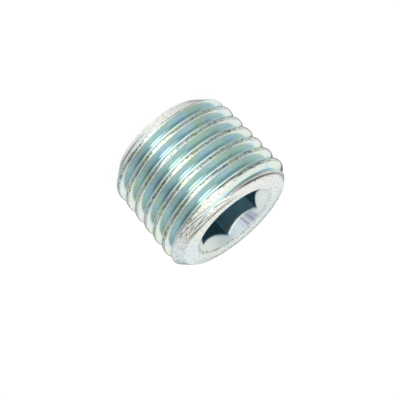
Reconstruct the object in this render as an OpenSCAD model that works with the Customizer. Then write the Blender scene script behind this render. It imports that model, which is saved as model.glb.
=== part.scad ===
// Headless pipe plug with a taper thread over its whole length and a
// hexagon socket in its large end.
// It is one turned, threaded and broached piece of steel.
// It stands on its small blank end, so +Z points out of the socket.

/* [Body] */
// Length from the blank end to the socket end
body_len = 10.7; // [9:0.1:14]
// Diameter over the thread crests at the socket end, before its chamfer
crest_d = 13.6; // [11:0.1:18]
// Length over which the diameter grows by one millimetre
taper_len = 16; // [12:1:40]
// Width of the 45 degree chamfer at the socket end
socket_chamfer = 0.95; // [0.3:0.05:1.2]
// Width of the 45 degree chamfer at the blank end
blank_chamfer = 1.3; // [0.3:0.05:1.6]

/* [Thread] */
// Threads to the inch
threads_per_inch = 18; // [15:1:22]
// Width of the flat left at the crest
crest_flat = 0.45; // [0.05:0.01:0.6]
// Width of the flat at the root
root_flat = 0.085; // [0.04:0.005:0.16]
// Angle between the two flanks
flank_angle = 60; // [50:1:60]
// Angle round the axis at which the crest would meet the blank end
thread_turn = 319; // [0:1:360]

/* [Socket] */
// Distance across the flats of the hexagon
hex_af = 6.42; // [4:0.02:8]
// Depth of the hexagon below the socket end
hex_depth = 5; // [3:0.1:6.5]
// Angle round the axis of the hexagon's first corner
hex_turn = 9; // [0:1:60]
// Width of the countersink outside the hexagon's corners
mouth_margin = 0.44; // [0.1:0.02:0.6]
// Diameter by which the pilot hole is smaller than the hexagon's flats
pilot_gap = 0.3; // [0.1:0.05:1]
// Depth of the pilot hole's wall below the hexagon
pilot_extra = 0.8; // [0.3:0.1:1.2]
// Angle of the drill point that leaves the bottom of the pilot hole
drill_angle = 118; // [90:1:140]

/* [Hidden] */

// Sides of the round surfaces, and stations on one turn of the thread
round_sides = 96;
turn_stations = 48;
// How far a cutting shape stands out past the surface that it cuts
overcut = 0.1;

inch = 25.4;
pitch = inch / threads_per_inch;
thread_depth = (pitch - crest_flat - root_flat) / 2 / tan(flank_angle / 2);
crest_r = crest_d / 2;
hex_corner_d = hex_af / cos(30);
mouth_d = hex_corner_d + 2 * mouth_margin;
pilot_d = hex_af - pilot_gap;
pilot_depth = hex_depth + pilot_extra;
drill_point = pilot_d / 2 / tan(drill_angle / 2);

// Radius over the crests at a height above the blank end
function crest_radius(z) = crest_r - (body_len - z) / taper_len / 2;

// Half the width of the groove at a distance above its root
function groove_half(rise) = root_flat / 2 + rise * tan(flank_angle / 2);

// Four corners of the groove's section, as [distance from the crest line, height]
groove_section = [
    [-thread_depth, -groove_half(0)],
    [overcut, -groove_half(thread_depth + overcut)],
    [overcut, groove_half(thread_depth + overcut)],
    [-thread_depth, groove_half(0)]
];

// The groove starts one pitch below the blank end and stops one above the other
first_turn = -1.5 - thread_turn / 360;
groove_turns = body_len / pitch + 3.5;
groove_stations = ceil(groove_turns * turn_stations);

// Height of the groove's middle at a number of turns from angle zero
function groove_height(turns) = pitch * (turns + 0.5 - thread_turn / 360);

// One corner of the section, at a station along the helix
function groove_point(station, corner) =
    let (
        turns = floor(first_turn) + station / turn_stations,
        z = groove_height(turns),
        r = crest_radius(z) + corner[0],
        angle = 360 * turns
    )
    [r * cos(angle), r * sin(angle), z + corner[1]];

// Blank turned to the crests' taper, with a chamfer at each end
module turned_blank() {
    low_r = crest_radius(blank_chamfer);
    high_r = crest_radius(body_len - socket_chamfer);
    rotate_extrude($fn = round_sides)
        polygon([
            [0, 0],
            [low_r - blank_chamfer, 0],
            [low_r, blank_chamfer],
            [high_r, body_len - socket_chamfer],
            [high_r - socket_chamfer, body_len],
            [0, body_len]
        ]);
}

// Right-hand helical groove that leaves the thread standing
module thread_groove() {
    corners = len(groove_section);
    last = groove_stations * corners;
    points = [
        for (station = [0:groove_stations]) for (corner = groove_section)
            groove_point(station, corner)
    ];
    sides = [
        for (station = [0:groove_stations - 1]) for (c = [0:corners - 1])
            let (
                here = station * corners + c,
                next = station * corners + (c + 1) % corners
            )
            each [
                [here, next, next + corners],
                [here, next + corners, here + corners]
            ]
    ];
    ends = [
        [0, 3, 2], [0, 2, 1],
        [last, last + 1, last + 2], [last, last + 2, last + 3]
    ];
    polyhedron(points = points, faces = concat(sides, ends), convexity = 20);
}

// Countersunk hexagon with a drilled pilot hole below it
module hex_socket() {
    translate([0, 0, body_len - hex_depth])
        rotate([0, 0, hex_turn])
            cylinder(d = hex_corner_d, h = hex_depth + overcut, $fn = 6);
    translate([0, 0, body_len - pilot_depth])
        cylinder(d = pilot_d, h = pilot_depth, $fn = round_sides);
    translate([0, 0, body_len - pilot_depth - drill_point])
        cylinder(r1 = 0, r2 = pilot_d / 2, h = drill_point, $fn = round_sides);
    translate([0, 0, body_len - mouth_d / 2])
        cylinder(r1 = 0, r2 = mouth_d / 2 + overcut, h = mouth_d / 2 + overcut, $fn = round_sides);
}

module plug() {
    color([0.62, 0.74, 0.74])
        difference() {
            turned_blank();
            thread_groove();
            hex_socket();
        }
}

plug();
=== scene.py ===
import math

import bmesh
import bpy
from mathutils import Matrix, Vector


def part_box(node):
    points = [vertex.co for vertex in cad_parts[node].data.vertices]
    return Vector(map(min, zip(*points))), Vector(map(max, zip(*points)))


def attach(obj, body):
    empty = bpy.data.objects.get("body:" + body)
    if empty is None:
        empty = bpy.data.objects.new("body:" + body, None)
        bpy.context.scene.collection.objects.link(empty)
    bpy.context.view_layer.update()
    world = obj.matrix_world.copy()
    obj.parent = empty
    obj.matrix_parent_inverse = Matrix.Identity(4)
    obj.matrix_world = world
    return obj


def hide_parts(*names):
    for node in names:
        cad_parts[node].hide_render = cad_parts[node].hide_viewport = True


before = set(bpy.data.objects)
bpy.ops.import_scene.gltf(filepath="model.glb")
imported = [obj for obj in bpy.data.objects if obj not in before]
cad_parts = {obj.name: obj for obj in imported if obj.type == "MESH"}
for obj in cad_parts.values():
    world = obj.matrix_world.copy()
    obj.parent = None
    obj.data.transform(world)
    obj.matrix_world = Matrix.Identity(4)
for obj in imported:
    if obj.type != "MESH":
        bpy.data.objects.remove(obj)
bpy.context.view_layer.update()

# --- Threaded body -----------------------------------------------------------
# Steel bar, turned to a 1 in 16 taper and chamfered at both ends, with a
# right-hand thread cut over its whole length. Its section over one pitch is
# swept round one turn, and the turn is repeated up the axis.
mm = 0.001
low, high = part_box("plug")
body_len = high.z - low.z
crest_r = 6.8 * mm
# Growth of the diameter along the axis
taper = 1 / 16
blank_chamfer = 1.3 * mm
socket_chamfer = 0.95 * mm
pitch = 25.4 * mm / 18
crest_flat = 0.45 * mm
root_flat = 0.085 * mm
half_flank_angle = math.radians(30)
thread_depth = (pitch - crest_flat - root_flat) / 2 / math.tan(half_flank_angle)
# Angle round the axis at which the crest would meet the blank end
thread_turn = math.radians(319)
# Angle of the hexagon's first corner, in degrees. The sweep starts there, so that
# its steps meet all six corners.
hex_turn = 9
first_turn = math.radians(hex_turn)
turn_steps = 240
# Rounding of the roots, and of the crests towards the blank end and the socket end
root_round = 0.04 * mm
crest_back_round = 0.2 * mm
crest_front_round = 0.16 * mm
# Rounding where the thread runs out on a chamfer, and where a chamfer meets its end
runout_round = 0.09 * mm
rim_round = 0.12 * mm
chamfer_angle = 45
# Width over which the thread's finish gives way to that of the turned ends
finish_blend = 0.04 * mm
# Points nearer than the gap are welded, and an edge at a height is found within the slack
weld_gap = 0.002 * mm
height_slack = 0.0001 * mm


def crest_radius(z):
    """Radius over the thread's crests at a height."""
    return crest_r - (body_len - z) * taper / 2


blank_r = crest_radius(blank_chamfer) - blank_chamfer
face_r = crest_radius(body_len - socket_chamfer) - socket_chamfer

body = bmesh.new()
depth_layer = body.verts.layers.float.new("depth")
side_layer = body.verts.layers.float.new("side")
cut_layer = body.verts.layers.float.new("cut")

# The section over one pitch, from root to root, as height from the crest's middle
# and depth. The crest is nearly all rounded, and a little tighter in front.
half = pitch / 2
section = [
    (-half, thread_depth), (-half + root_flat / 2, thread_depth), (-crest_flat / 2, 0),
    (crest_flat / 2, 0), (half - root_flat / 2, thread_depth), (half, thread_depth),
]
crest_height = pitch * (first_turn - thread_turn) / (2 * math.pi)
corners = [body.verts.new((crest_r - depth, 0, crest_height + rise)) for rise, depth in section]
for pair in zip(corners, corners[1:]):
    body.edges.new(pair)
for rounded, offset, segments in (
    ((corners[1], corners[4]), root_round, 4),
    ((corners[2],), crest_back_round, 10),
    ((corners[3],), crest_front_round, 8),
):
    bmesh.ops.bevel(
        body, geom=rounded, affect="VERTICES", offset=offset, segments=segments, profile=0.5, material=-1,
    )
shortest_flank = 0.35 * mm
flanks = [e for e in body.edges if e.calc_length() > shortest_flank]
bmesh.ops.subdivide_edges(body, edges=flanks, cuts=7)

# The finish follows each point's depth in the thread, and the side of the crest that
# it is on, which goes from -1 towards the blank end to 1 towards the socket end
for v in body.verts:
    v[depth_layer] = (crest_r - v.co.x) / thread_depth
    v[side_layer] = math.sin(2 * math.pi * (v.co.z - crest_height) / pitch)

bmesh.ops.rotate(body, verts=body.verts[:], cent=(0, 0, 0), matrix=Matrix.Rotation(first_turn, 3, "Z"))
bmesh.ops.spin(
    body, geom=body.verts[:] + body.edges[:], cent=(0, 0, 0), axis=(0, 0, 1),
    dvec=(0, 0, pitch / turn_steps), angle=2 * math.pi, steps=turn_steps,
)
one_turn = body.verts[:] + body.edges[:] + body.faces[:]
for turn in range(1, math.ceil(body_len / pitch) + 2):
    copy = bmesh.ops.duplicate(body, geom=one_turn)["geom"]
    bmesh.ops.translate(
        body, verts=[v for v in copy if isinstance(v, bmesh.types.BMVert)], vec=(0, 0, pitch * turn),
    )
bmesh.ops.remove_doubles(body, verts=body.verts[:], dist=weld_gap)

# Bring the swept thread to the taper, and inside the two chamfers. Where the two
# meet, a smooth minimum rounds the edge.
for v in body.verts:
    angle = math.atan2(v.co.y, v.co.x)
    threaded_r = math.hypot(v.co.x, v.co.y) - crest_r + crest_radius(v.co.z)
    turned_r = min(blank_r + v.co.z, face_r + body_len - v.co.z)
    near = max(1 - abs(threaded_r - turned_r) / runout_round, 0)
    r = min(threaded_r, turned_r) - near ** 2 * runout_round / 4
    v[cut_layer] = min(max((threaded_r - turned_r) / finish_blend + 0.5, 0), 1)
    v.co.x, v.co.y = r * math.cos(angle), r * math.sin(angle)
rim_height = rim_round * (1 - math.cos(math.radians(chamfer_angle)))
for rim_z, way in ((rim_height, 1), (body_len - rim_height, -1)):
    bmesh.ops.bisect_plane(
        body, geom=body.verts[:] + body.edges[:] + body.faces[:], dist=1e-9,
        plane_co=(0, 0, rim_z), plane_no=(0, 0, way), clear_inner=True,
    )


def open_edge(z):
    """The open edge of the mesh at a height."""
    edges = [e for e in body.edges if e.is_boundary]
    return [e for e in edges if all(abs(v.co.z - z) < height_slack for v in e.verts)]


def draw_ring(edges, profile):
    """Extrudes a ring of edges to the radius and height that profile gives at each angle."""
    made = bmesh.ops.extrude_edge_only(body, edges=edges)["geom"]
    for v in made:
        if isinstance(v, bmesh.types.BMVert):
            angle = math.atan2(v.co.y, v.co.x)
            r, z = profile(angle)
            v.co = (r * math.cos(angle), r * math.sin(angle), z)
            v[cut_layer], v[depth_layer], v[side_layer] = 1, 0, 0
    return [e for e in made if isinstance(e, bmesh.types.BMEdge)]


def round_rim(edges, rim_r, end, way):
    """Rounds a chamfer over into the flat of its end, which faces way."""
    flat_r = rim_r - rim_round * math.tan(math.radians(chamfer_angle / 2))
    for lean in (30, 15, 0):
        r = flat_r + rim_round * math.sin(math.radians(lean))
        z = end - way * rim_round * (1 - math.cos(math.radians(lean)))
        edges = draw_ring(edges, lambda a: (r, z))
    return edges


def close_ring(edges, z):
    """Draws a ring in to a single point on the axis."""
    last = draw_ring(edges, lambda a: (0, z))
    bmesh.ops.remove_doubles(body, verts=list({v for e in last for v in e.verts}), dist=weld_gap / 2)


# Blank end: a plain turned flat
ring = round_rim(open_edge(rim_height), blank_r, 0, -1)
for share in (0.9, 0.7, 0.5, 0.3, 0.1):
    ring = draw_ring(ring, lambda a: (blank_r * share, 0))
close_ring(ring, 0)

# Socket end: a turned face, a countersink that cuts scallops in the hexagon's
# sides, the broached hexagon, and the drilled pilot hole with its drill point
hex_flat = 3.21 * mm
hex_depth = 5 * mm
hex_floor = body_len - hex_depth
# Angle that each side of the hexagon takes, in degrees
side_angle = 60
# How far the mouth goes past the hexagon's corners
mouth_margin = 0.44 * mm
mouth_r = hex_flat / math.cos(math.radians(side_angle / 2)) + mouth_margin
# How much narrower the pilot hole is than the hexagon, and how far it goes on below
pilot_step = 0.15 * mm
pilot_run = 0.8 * mm
pilot_r = hex_flat - pilot_step
pilot_floor = hex_floor - pilot_run
half_drill_angle = math.radians(59)
drill_point = pilot_r / math.tan(half_drill_angle)
# How far the socket's sharp edges are broken
edge_break = 0.03 * mm


def hex_radius(angle):
    """Distance from the axis to the hexagon's wall."""
    off_middle = (math.degrees(angle) - hex_turn) % side_angle - side_angle / 2
    return hex_flat / math.cos(math.radians(off_middle))


def cone_height(r):
    """Height of the countersink at a radius, lowered a little to make room for its broken edge."""
    return body_len - (mouth_r - r) - edge_break / 3


ring = round_rim(open_edge(body_len - rim_height), face_r, body_len, 1)
for share in (0.04, 0.3, 0.6, 0.9, 0.97):
    ring = draw_ring(ring, lambda a: (face_r + (mouth_r - face_r) * share, body_len))
ring = draw_ring(ring, lambda a: (mouth_r, body_len - edge_break / 4))
ring = draw_ring(ring, lambda a: (mouth_r - edge_break, cone_height(mouth_r - edge_break)))
for share in (0.15, 0.4, 0.7, 0.93):
    def slope_point(a):
        r = mouth_r + (hex_radius(a) - mouth_r) * share
        return r, cone_height(r)
    ring = draw_ring(ring, slope_point)
for share in (0, 0.06, 0.12, 0.3, 0.6, 0.95, 1):
    def wall_point(a):
        top = cone_height(hex_radius(a)) - edge_break / 2
        return hex_radius(a), top + (hex_floor - top) * share
    ring = draw_ring(ring, wall_point)
ring = draw_ring(ring, lambda a: (hex_radius(a) - edge_break, hex_floor))
ring = draw_ring(ring, lambda a: (pilot_r, hex_floor))
ring = draw_ring(ring, lambda a: (pilot_r, hex_floor - edge_break))
ring = draw_ring(ring, lambda a: (pilot_r, pilot_floor))
for share in (0.97, 0.5, 0.1):
    ring = draw_ring(ring, lambda a: (pilot_r * share, pilot_floor - drill_point * (1 - share)))
close_ring(ring, pilot_floor - drill_point)
bmesh.ops.recalc_face_normals(body, faces=body.faces[:])

mesh = bpy.data.meshes.new("plug_body")
body.to_mesh(mesh)
body.free()
mesh.shade_smooth()
plug = bpy.data.objects.new("plug_body", mesh)
bpy.context.scene.collection.objects.link(plug)
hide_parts("plug")
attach(plug, "root")


def srgb(code):
    """A hex colour as the linear colour that a shader takes."""
    parts = [int(code[k:k + 2], 16) / 255 for k in (1, 3, 5)]
    return [c / 12.92 if c < 0.04045 else ((c + 0.055) / 1.055) ** 2.4 for c in parts] + [1]


def add_node(owner, kind, inputs, output=0, stops=(), **settings):
    """Adds a node with its settings, a value or a link on each input and any ramp stops; gives an output."""
    tree = owner.node_tree
    node = tree.nodes.new(kind)
    for name, value in settings.items():
        setattr(node, name, value)
    for name, value in inputs.items():
        if isinstance(value, bpy.types.NodeSocket):
            tree.links.new(value, node.inputs[name])
        else:
            node.inputs[name].default_value = value
    for number, (position, colour) in enumerate(stops):
        points = node.color_ramp.elements
        point = points[number] if number < 2 else points.new(position)
        point.position = position
        point.color = srgb(colour) if isinstance(colour, str) else (colour, colour, colour, 1)
    return node.outputs[output]


# Bright zinc plate with a pale blue passivation, over a cut thread and turned ends.
# The film is thinnest on the crests and thickest in the roots, and painted shade
# darkens the grooves, so the colour runs from cream through pale green to blue, and the
# torn crests hold dark specks.
zinc = bpy.data.materials.new("blue passivated zinc plate")
zinc.use_nodes = True
plate = zinc.node_tree.nodes["Principled BSDF"]
plate.inputs["Metallic"].default_value = 1
# Settings of a node that blends two colours, and of one that multiplies them
blend = {"data_type": "RGBA"}
multiply = {"data_type": "RGBA", "blend_type": "MULTIPLY"}
groove_depth = add_node(zinc, "ShaderNodeAttribute", {}, "Fac", attribute_name="depth")
crest_side = add_node(zinc, "ShaderNodeAttribute", {}, "Fac", attribute_name="side")
turned_part = add_node(zinc, "ShaderNodeAttribute", {}, "Fac", attribute_name="cut")

# Place on the plug: height, distance from the axis, and angle round it. Arcs are given
# as a share of a turn, which is 0 and 1 on the +Y side, 0.5 on the -Y side and 0.75 on
# the +X side. The socket end's own marks are drawn on the upper half alone.
place = add_node(zinc, "ShaderNodeTexCoord", {}, "Object")
plug_x = add_node(zinc, "ShaderNodeSeparateXYZ", {"Vector": place}, "X")
plug_y = add_node(zinc, "ShaderNodeSeparateXYZ", {"Vector": place}, "Y")
plug_z = add_node(zinc, "ShaderNodeSeparateXYZ", {"Vector": place}, "Z")
level_place = add_node(zinc, "ShaderNodeMapping", {"Vector": place, "Scale": (1, 1, 0)})
radius = add_node(zinc, "ShaderNodeVectorMath", {0: level_place}, "Value", operation="LENGTH")
ahead = add_node(zinc, "ShaderNodeMath", {0: plug_y, 1: -1}, operation="MULTIPLY")
around = add_node(zinc, "ShaderNodeMath", {0: plug_x, 1: ahead}, operation="ARCTAN2")
turn_share = add_node(zinc, "ShaderNodeMapRange", {"Value": around, 1: -math.pi, 2: math.pi})
socket_end = add_node(zinc, "ShaderNodeMapRange", {"Value": plug_z, 1: 5 * mm, 2: 6 * mm})

# Clouds in the film, wide changes of its tint, tears that lie along the thread, and
# pits. Real pits are about 0.05 mm wide, and are drawn coarser so that they show.
cloud_size = 0.9 * mm
along_thread = add_node(zinc, "ShaderNodeMapping", {"Vector": place, "Scale": (1, 1, 9)})
cloud, hue, torn, grain = [
    add_node(zinc, "ShaderNodeTexNoise", {
        "Vector": vector, "Scale": 1 / size, "Detail": detail, "Roughness": harshness,
    })
    for vector, size, detail, harshness in (
        (place, cloud_size, 3, 0.6),
        (place, 1.5 * mm, 2, 0.55),
        (along_thread, 0.7 * mm, 4, 0.7),
        (place, 0.17 * mm, 3, 0.7),
    )
]

# Flanks: colour by depth, the film's tint with painted shade deeper in the groove,
# wandering a little, with bluer and yellower patches
wander = add_node(zinc, "ShaderNodeMath", {0: cloud, 1: 0.5, 2: -0.25}, operation="MULTIPLY_ADD")
film_and_groove_shade = add_node(zinc, "ShaderNodeMath", {0: groove_depth, 1: wander}, operation="ADD", use_clamp=True)
socket_flank = add_node(zinc, "ShaderNodeValToRGB", {"Fac": film_and_groove_shade}, stops=(
    (0, "#f0f8f0"), (0.1, "#f5fcf1"), (0.3, "#f5fcf4"), (0.6, "#effbf5"), (0.85, "#e2f6f6"), (1, "#c8e8ec"),
))
# Painted shade: the flank that faces the blank end is darker than the other from near its crest down
blank_flank = add_node(zinc, "ShaderNodeValToRGB", {"Fac": film_and_groove_shade}, stops=(
    (0, "#ecffff"), (0.15, "#dff6fa"), (0.4, "#cce4ec"), (1, "#c8e6ec"),
))
facing = add_node(zinc, "ShaderNodeMapRange", {"Value": crest_side, 1: -0.4, 2: 0.2})
flank = add_node(zinc, "ShaderNodeMix", {0: facing, 6: blank_flank, 7: socket_flank}, 2, **blend)
patches = add_node(zinc, "ShaderNodeValToRGB", {"Fac": hue}, stops=(
    (0.36, "#f2f8ff"), (0.5, "#fdffff"), (0.64, "#fafdee"),
))

# Crests: torn by the cutter, cream with dark olive tears and specks, and clean where
# they round off behind. The tears are fewer on the -X and +X sides, and more near the
# socket end.
crest_top = add_node(zinc, "ShaderNodeMapRange", {"Value": groove_depth, 1: 0.2, 2: 0.03})
not_behind = add_node(zinc, "ShaderNodeMapRange", {"Value": crest_side, 1: -0.45, 2: -0.1})
crest = add_node(zinc, "ShaderNodeMath", {0: crest_top, 1: not_behind}, operation="MULTIPLY")
x_share = add_node(zinc, "ShaderNodeMath", {0: plug_x, 1: radius}, operation="DIVIDE")
to_side = add_node(zinc, "ShaderNodeMath", {0: x_share}, operation="ABSOLUTE")
at_sides = add_node(zinc, "ShaderNodeMapRange", {"Value": to_side, 1: 0.8, 2: 0.96, 4: 0.07})
fewer = add_node(zinc, "ShaderNodeMath", {0: crest_side, 1: 0.05, 2: at_sides}, operation="MULTIPLY_ADD")
last_turn = add_node(zinc, "ShaderNodeMapRange", {"Value": plug_z, 1: 8 * mm, 2: 8.8 * mm, 4: -0.05})
spared = add_node(zinc, "ShaderNodeMath", {0: fewer, 1: last_turn}, operation="ADD")
tears = add_node(zinc, "ShaderNodeMath", {0: torn, 1: spared}, operation="ADD")
torn_crest = add_node(zinc, "ShaderNodeValToRGB", {"Fac": tears}, stops=(
    (0.39, "#2f3826"), (0.43, "#aabfae"), (0.47, "#f0fffb"), (0.6, "#fafffc"),
))
specks = add_node(zinc, "ShaderNodeValToRGB", {"Fac": grain}, stops=(
    (0.37, "#6a7566"), (0.43, "#dde8e0"), (0.49, "#ffffff"),
))
specked_crest = add_node(zinc, "ShaderNodeMix", {0: 1, 6: torn_crest, 7: specks}, 2, **multiply)
# Painted shade: the crest darkens towards its side that faces the blank end and is lightest towards the
# socket end
ridge = add_node(zinc, "ShaderNodeMapRange", {"Value": crest_side, 1: -0.4, 2: 0.6})
shade = add_node(zinc, "ShaderNodeValToRGB", {"Fac": ridge}, stops=(
    (0, "#b6d0c9"), (0.4, "#d6e7e0"), (0.8, "#ffffff"),
))
crest_colour = add_node(zinc, "ShaderNodeMix", {0: 1, 6: specked_crest, 7: shade}, 2, **multiply)
thread = add_node(zinc, "ShaderNodeMix", {0: crest, 6: flank, 7: crest_colour}, 2, **blend)
thread = add_node(zinc, "ShaderNodeMix", {0: 1, 6: thread, 7: patches}, 2, **multiply)

# Turned ends: near white and speckled with small pits, with a tint that changes
# round the plug. The marks that follow are laid over them one by one.
turned = add_node(zinc, "ShaderNodeValToRGB", {"Fac": grain}, stops=(
    (0.36, "#77827c"), (0.41, "#d3dfda"), (0.455, "#f9fdfb"), (0.58, "#ffffff"), (0.67, "#e4f2f6"),
))
tint = add_node(zinc, "ShaderNodeValToRGB", {"Fac": turn_share}, stops=(
    (0, "#f0f4f3"), (0.1, "#eef4f9"), (0.35, "#fffefb"), (0.6, "#fffdf6"),
    (0.72, "#f0fbff"), (0.85, "#f0f5ed"), (1, "#f0f4f3"),
))
turned = add_node(zinc, "ShaderNodeMix", {0: 1, 6: turned, 7: tint}, 2, **multiply)

# Dark lines on the socket end where the cutter ran out, each a part of a spiral that
# widens towards the +X side, by this much for each radian. The ramp has a row for
# each line.
widening = 0.86 * mm
spiral = add_node(zinc, "ShaderNodeMath", {0: around, 1: -widening, 2: radius}, operation="MULTIPLY_ADD")
across_lines = add_node(zinc, "ShaderNodeMapRange", {"Value": spiral, 1: 5 * mm, 2: 6.3 * mm})
lines = add_node(zinc, "ShaderNodeValToRGB", {"Fac": across_lines}, stops=(
    (0, 1), (0.03, 0.2), (0.07, 0.2), (0.1, 1),
    (0.145, 1), (0.17, 0.02), (0.3, 0.02), (0.325, 1),
    (0.455, 1), (0.475, 0.2), (0.49, 0.2), (0.51, 1),
    (0.7, 1), (0.72, 0.15), (0.74, 0.15), (0.765, 1),
    (0.87, 1), (0.9, 0.2), (0.93, 1),
))
line_arc = add_node(zinc, "ShaderNodeValToRGB", {"Fac": turn_share}, stops=(
    (0.44, 0), (0.48, 0.8), (0.51, 1), (0.58, 1), (0.605, 0.5), (0.65, 0),
))
line_end = add_node(zinc, "ShaderNodeMath", {0: line_arc, 1: socket_end}, operation="MULTIPLY")
worn = add_node(zinc, "ShaderNodeMapRange", {"Value": cloud, 1: 0.3, 2: 0.42, 3: 0.7})
line_share = add_node(zinc, "ShaderNodeMath", {0: worn, 1: line_end}, operation="MULTIPLY")
turned = add_node(zinc, "ShaderNodeMix", {0: line_share, 6: turned, 7: lines}, 2, **multiply)

# A dark brown line round part of the rim, at a radius of 5.9 to 6.1 mm
across_rim = add_node(zinc, "ShaderNodeMapRange", {"Value": radius, 1: 5.7 * mm, 2: 6.2 * mm})
rim_line = add_node(zinc, "ShaderNodeValToRGB", {"Fac": across_rim}, stops=(
    (0.38, "#ffffff"), (0.5, "#5c5149"), (0.61, "#5c5149"), (0.78, "#ffffff"),
))
rim_arc = add_node(zinc, "ShaderNodeValToRGB", {"Fac": turn_share}, stops=(
    (0.2, 0.1), (0.333, 0.8), (0.417, 1), (0.475, 0.2), (0.5, 0),
))
rim_share = add_node(zinc, "ShaderNodeMath", {0: rim_arc, 1: socket_end}, operation="MULTIPLY")
turned = add_node(zinc, "ShaderNodeMix", {0: rim_share, 6: turned, 7: rim_line}, 2, **multiply)

# Dents where the thread ends on the socket end's chamfer
dents = add_node(zinc, "ShaderNodeValToRGB", {"Fac": torn}, stops=(
    (0.41, "#6c7772"), (0.45, "#d0d8d4"), (0.49, "#ffffff"),
))
dent_arc = add_node(zinc, "ShaderNodeValToRGB", {"Fac": turn_share}, stops=(
    (0.2, 0), (0.24, 0.9), (0.34, 0.9), (0.39, 0), (0.55, 0), (0.58, 0.8), (0.61, 0.9), (0.64, 0),
))
on_chamfer = add_node(zinc, "ShaderNodeMapRange", {"Value": radius, 1: 6 * mm, 2: 6.25 * mm})
dented = add_node(zinc, "ShaderNodeMath", {0: on_chamfer, 1: dent_arc}, operation="MULTIPLY")
dent_share = add_node(zinc, "ShaderNodeMath", {0: dented, 1: socket_end}, operation="MULTIPLY")
turned = add_node(zinc, "ShaderNodeMix", {0: dent_share, 6: turned, 7: dents}, 2, **multiply)

# Duller and more pitted metal on the +Y side of both ends' rims
pits = add_node(zinc, "ShaderNodeValToRGB", {"Fac": grain}, stops=(
    (0.41, "#868b85"), (0.5, "#d4d9d5"), (0.62, "#f2f5f2"),
))
pit_arc = add_node(zinc, "ShaderNodeValToRGB", {"Fac": turn_share}, stops=(
    (0.1, 1), (0.22, 0), (0.78, 0), (0.88, 1),
))
near_rim = add_node(zinc, "ShaderNodeMapRange", {"Value": radius, 1: 4.9 * mm, 2: 5.75 * mm})
pit_share = add_node(zinc, "ShaderNodeMath", {0: near_rim, 1: pit_arc}, operation="MULTIPLY")
turned = add_node(zinc, "ShaderNodeMix", {0: pit_share, 6: turned, 7: pits}, 2, **multiply)

# The countersink, inside a radius of 4.1 mm at the socket end, is smooth, with a darker,
# streaked grey-blue part on the +Y side, which is painted shade where it runs down into the socket
in_mouth = add_node(zinc, "ShaderNodeMapRange", {"Value": radius, 1: 4.15 * mm, 2: 4 * mm})
cone_share = add_node(zinc, "ShaderNodeMath", {0: in_mouth, 1: socket_end}, operation="MULTIPLY")
streak_noise = add_node(zinc, "ShaderNodeTexNoise", {
    "W": around, "Scale": 11, "Detail": 3, "Roughness": 0.6,
}, noise_dimensions="1D")
shaded_streaks = add_node(zinc, "ShaderNodeValToRGB", {"Fac": streak_noise}, stops=(
    (0.36, "#8f93ac"), (0.5, "#b6bacb"), (0.64, "#d6dee6"),
))
# Painted shade: the arc on the +Y side where the countersink is darkened and streaked
cone_shade_arc = add_node(zinc, "ShaderNodeValToRGB", {"Fac": turn_share}, stops=(
    (0, 0), (0.04, 0.9), (0.07, 0.9), (0.09, 0),
))
smooth_cone = add_node(zinc, "ShaderNodeValToRGB", {"Fac": turn_share}, stops=(
    (0.07, "#c3d2d9"), (0.1, "#f2f9f4"), (0.86, "#eef7f1"), (0.91, "#d6e4e5"), (0.94, "#c3d2d9"),
))
cone = add_node(zinc, "ShaderNodeMix", {0: cone_shade_arc, 6: smooth_cone, 7: shaded_streaks}, 2, **blend)
turned = add_node(zinc, "ShaderNodeMix", {0: cone_share, 6: turned, 7: cone}, 2, **blend)

# Olive stains along part of the mouth's edge, at a radius of 4.05 to 4.4 mm
stains = add_node(zinc, "ShaderNodeValToRGB", {"Fac": grain}, stops=(
    (0.42, "#5f6650"), (0.52, "#dfe3d4"), (0.6, "#ffffff"),
))
across_edge = add_node(zinc, "ShaderNodeMapRange", {"Value": radius, 1: 4 * mm, 2: 4.5 * mm})
mouth_edge = add_node(zinc, "ShaderNodeValToRGB", {"Fac": across_edge}, stops=(
    (0.1, 0), (0.3, 1), (0.5, 1), (0.8, 0),
))
stain_arc = add_node(zinc, "ShaderNodeValToRGB", {"Fac": turn_share}, stops=(
    (0.02, 1), (0.1, 0.3), (0.2, 0.6), (0.26, 0), (0.65, 0), (0.72, 0.9), (0.95, 1),
))
stained = add_node(zinc, "ShaderNodeMath", {0: mouth_edge, 1: stain_arc}, operation="MULTIPLY")
stain_share = add_node(zinc, "ShaderNodeMath", {0: stained, 1: socket_end}, operation="MULTIPLY")
turned = add_node(zinc, "ShaderNodeMix", {0: stain_share, 6: turned, 7: stains}, 2, **multiply)
plate_colour = add_node(zinc, "ShaderNodeMix", {0: turned_part, 6: thread, 7: turned}, 2, **blend)

# The thread is smoother than the turned ends. Its tears and their pits are shallow.
turned_roughness = 0.36
polish = add_node(zinc, "ShaderNodeValToRGB", {"Fac": groove_depth}, stops=(
    (0, 0.12), (0.2, 0.14), (0.35, 0.2), (0.65, 0.2), (0.9, 0.15), (1, 0.14),
))
plate_roughness = add_node(zinc, "ShaderNodeMix", {
    0: turned_part, 2: polish, 3: turned_roughness,
}, data_type="FLOAT")
notches = add_node(zinc, "ShaderNodeMath", {0: tears, 1: crest}, operation="MULTIPLY")
relief = add_node(zinc, "ShaderNodeMix", {0: turned_part, 2: notches, 3: grain}, data_type="FLOAT")
bumps = add_node(zinc, "ShaderNodeBump", {"Height": relief, "Strength": 0.3, "Distance": 0.03 * mm})
for name, value in (("Base Color", plate_colour), ("Roughness", plate_roughness), ("Normal", bumps)):
    zinc.node_tree.links.new(value, plate.inputs[name])
mesh.materials.append(zinc)
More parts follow.
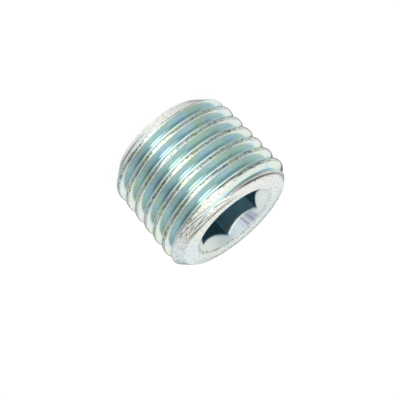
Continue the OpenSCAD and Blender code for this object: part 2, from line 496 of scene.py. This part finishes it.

# The same plate inside the socket, where it is thin and dull over broached and drilled
# walls. Its colour is darkened as painted shade of the recess, so that the bore looks a dark
# blue green. Painted shade darkens each wall turned away from -Y, so the wall on the +Y side is lighter.
bore = bpy.data.materials.new("dull zinc plate in the socket, with painted shade")
bore.use_nodes = True
bore_plate = bore.node_tree.nodes["Principled BSDF"]
bore_plate.inputs["Metallic"].default_value = 1
bore_plate.inputs["Roughness"].default_value = 0.3
bore_place = add_node(bore, "ShaderNodeTexCoord", {}, "Object")
bore_cloud = add_node(bore, "ShaderNodeTexNoise", {
    "Vector": bore_place, "Scale": 1 / cloud_size, "Detail": 3,
})
# Painted shade of the recess: these film colours are darker than the plate outside
bore_film_and_shade = add_node(bore, "ShaderNodeValToRGB", {"Fac": bore_cloud}, stops=(
    (0.3, "#b0cfd0"), (0.7, "#c9e4e3"),
))
# Painted shade on the walls that are turned away from -Y
wall_normal = add_node(bore, "ShaderNodeNewGeometry", {}, "Normal")
wall_y = add_node(bore, "ShaderNodeSeparateXYZ", {"Vector": wall_normal}, "Y")
other_walls = add_node(bore, "ShaderNodeMapRange", {"Value": wall_y, 1: -0.95, 2: -0.6})
wall_shade = add_node(bore, "ShaderNodeValToRGB", {"Fac": other_walls}, stops=(
    (0, "#ffffff"), (1, "#b9cadb"),
))
bore_colour = add_node(bore, "ShaderNodeMix", {0: 1, 6: bore_film_and_shade, 7: wall_shade}, 2, **multiply)
bore.node_tree.links.new(bore_colour, bore_plate.inputs["Base Color"])
mesh.materials.append(bore)
for face in mesh.polygons:
    middle = face.center
    in_bore = math.hypot(middle.x, middle.y) < mouth_r and middle.z > blank_chamfer
    is_wall = abs(face.normal.z) < 0.5
    if in_bore and (is_wall or middle.z < hex_floor + edge_break):
        face.material_index = 1

# --- Floor and light -----------------------------------------------------------
# A white floor, which shows the camera a plain white with a faint shadow, and lets
# reflections through to the white and grey surroundings that the world holds.
floor_size = 4
floor_mesh = bpy.data.meshes.new("floor")
sheet = bmesh.new()
bmesh.ops.create_grid(sheet, x_segments=1, y_segments=1, size=floor_size)
sheet.to_mesh(floor_mesh)
sheet.free()
floor = bpy.data.objects.new("floor", floor_mesh)
bpy.context.scene.collection.objects.link(floor)
paper = bpy.data.materials.new("white paper")
paper.use_nodes = True
paper.node_tree.nodes.remove(paper.node_tree.nodes["Principled BSDF"])
matt = add_node(paper, "ShaderNodeBsdfDiffuse", {"Color": srgb("#8c8c8c")})
glow = add_node(paper, "ShaderNodeEmission", {"Color": (1, 1, 1, 1), "Strength": 0.84})
lit_paper = add_node(paper, "ShaderNodeAddShader", {0: matt, 1: glow})
clear = add_node(paper, "ShaderNodeBsdfTransparent", {})
glossy = add_node(paper, "ShaderNodeLightPath", {}, "Is Glossy Ray")
surface = add_node(paper, "ShaderNodeMixShader", {0: glossy, 1: lit_paper, 2: clear})
paper.node_tree.links.new(surface, paper.node_tree.nodes["Material Output"].inputs["Surface"])
floor_mesh.materials.append(paper)

# Studio round the plug: white behind, over and under it, dimmer at both sides of
# the camera, a lit strip on the camera's side, and a dark card far behind and below
# the plug, which draws a thin line round its outline.
studio = bpy.data.worlds.new("studio")
bpy.context.scene.world = studio
studio.use_nodes = True
sky = studio.node_tree.nodes["Background"]
sky.inputs["Strength"].default_value = 1
direction = add_node(studio, "ShaderNodeTexCoord", {}, "Generated")
sky_x = add_node(studio, "ShaderNodeSeparateXYZ", {"Vector": direction}, "X")
sky_y = add_node(studio, "ShaderNodeSeparateXYZ", {"Vector": direction}, "Y")
sky_z = add_node(studio, "ShaderNodeSeparateXYZ", {"Vector": direction}, "Z")
forward = add_node(studio, "ShaderNodeMath", {0: sky_y, 1: -1}, operation="MULTIPLY")
bearing = add_node(studio, "ShaderNodeMath", {0: sky_x, 1: forward}, operation="ARCTAN2")
bearing_share = add_node(studio, "ShaderNodeMapRange", {"Value": bearing, 1: -math.pi, 2: math.pi})
elevation = add_node(studio, "ShaderNodeMath", {0: sky_z}, operation="ARCSINE")

# Brightness of the surroundings, in hundredths: a row for each elevation in degrees,
# with a level for each 20 degrees of bearing, from -170 by way of the camera's side
# at 0 to 170
bearings = range(-170, 171, 20)
levels = {
    -80: (98, 90, 55, 51, 68, 92, 109, 126, 138, 144, 138, 121, 109, 75, 37, 38, 80, 98),
    -55: (105, 85, 27, 27, 59, 83, 90, 94, 101, 106, 101, 75, 48, 46, 39, 33, 75, 105),
    -42: (110, 62, 34, 44, 68, 74, 84, 75, 63, 66, 66, 56, 53, 78, 53, 37, 60, 110),
    -22: (95, 94, 75, 72, 54, 53, 59, 57, 55, 63, 54, 30, 47, 72, 64, 54, 88, 95),
    0: (92, 82, 69, 57, 32, 27, 27, 31, 46, 57, 32, 9, 16, 38, 52, 40, 72, 90),
    22: (98, 88, 81, 53, 38, 37, 38, 42, 58, 71, 54, 14, 21, 45, 60, 86, 90, 98),
    40: (100, 83, 86, 77, 55, 52, 55, 71, 101, 103, 94, 48, 31, 68, 78, 86, 84, 100),
    60: (100, 95, 88, 78, 68, 75, 110, 128, 150, 160, 142, 97, 62, 82, 84, 84, 92, 100),
    82: (100, 97, 95, 95, 110, 125, 135, 140, 145, 145, 135, 115, 95, 85, 90, 92, 97, 100),
}
bands = [
    add_node(studio, "ShaderNodeValToRGB", {"Fac": bearing_share}, stops=[
        ((degrees + 180) / 360, level / 100) for degrees, level in zip(bearings, row)
    ])
    for row in levels.values()
]
light = bands[0]
for lower, upper, band in zip(levels, list(levels)[1:], bands[1:]):
    band_share = add_node(studio, "ShaderNodeMapRange", {
        "Value": elevation, 1: math.radians(lower), 2: math.radians(upper),
    })
    light = add_node(studio, "ShaderNodeMix", {0: band_share, 6: light, 7: band}, 2, **blend)

# The strip is warm and brightest from level up to 20 degrees, plain white over that,
# and fades out at its foot
strip_arc = add_node(studio, "ShaderNodeValToRGB", {"Fac": bearing_share}, stops=[
    ((degrees + 180) / 360, level) for degrees, level in ((-24, 0), (-8, 0.45), (3, 1), (20, 1), (28, 0))
])
foot, waist, head = [
    add_node(studio, "ShaderNodeMapRange", {
        "Value": elevation, 1: math.radians(start), 2: math.radians(end),
    })
    for start, end in ((-38, -28), (-14, 0), (20, 36))
]
strip_share = add_node(studio, "ShaderNodeMath", {0: strip_arc, 1: foot}, operation="MULTIPLY")
strip = add_node(studio, "ShaderNodeMix", {
    0: waist, 6: (1.38, 1.23, 1.18, 1), 7: (2.5, 2, 1.85, 1),
}, 2, **blend)
strip = add_node(studio, "ShaderNodeMix", {0: head, 6: strip, 7: (1.1, 1.1, 1.1, 1)}, 2, **blend)
light = add_node(studio, "ShaderNodeMix", {0: strip_share, 6: light, 7: strip}, 2, **blend)

# The card fades in where a direction comes near enough to its middle's. The camera
# sees plain white in place of all these.
card_middle = (0, 0.95, -0.312)
nearness = add_node(studio, "ShaderNodeVectorMath", {
    0: direction, 1: card_middle,
}, "Value", operation="DOT_PRODUCT")
card = add_node(studio, "ShaderNodeMapRange", {"Value": nearness, 1: 0.87, 2: 0.91})
light = add_node(studio, "ShaderNodeMix", {0: card, 6: light, 7: (0.035, 0.03, 0.025, 1)}, 2, **blend)
backdrop = add_node(studio, "ShaderNodeLightPath", {}, "Is Camera Ray")
light = add_node(studio, "ShaderNodeMix", {0: backdrop, 6: light, 7: (1, 1, 1, 1)}, 2, **blend)
studio.node_tree.links.new(light, sky.inputs["Color"])

# --- Camera ---------------------------------------------------------------------
# It looks at the side of the plug from a little over its socket end, rolled so
# that the socket end points down and to the right.
lens_view = bpy.data.cameras.new("camera")
camera = bpy.data.objects.new("camera", lens_view)
bpy.context.scene.collection.objects.link(camera)
bpy.context.scene.camera = camera
lens_view.sensor_width = 36
lens_view.lens = 130.85
lens_view.clip_start = 0.01
rise = math.radians(18.226)
roll = math.radians(48.507)
distance = 133.6 * mm
# The picture's middle lies this far to the left of the socket face's middle, and over it
left_of_face = 3.209 * mm
over_face = 1.928 * mm
toward_camera = Vector((0, -math.cos(rise), math.sin(rise)))
unrolled_right = Vector((1, 0, 0))
unrolled_up = toward_camera.cross(unrolled_right)
face_middle = Vector((0, 0, body_len))
camera.location = face_middle + toward_camera * distance
right = unrolled_up * math.cos(roll) - unrolled_right * math.sin(roll)
up = toward_camera.cross(right)
target = face_middle - right * left_of_face + up * over_face
aim = (camera.location - target).normalized()
across = (right - aim * right.dot(aim)).normalized()
camera_turn = Matrix((across, aim.cross(across), aim)).transposed().to_4x4()
camera.matrix_world = Matrix.Translation(camera.location) @ camera_turn

bpy.context.scene.view_settings.view_transform = "Standard"
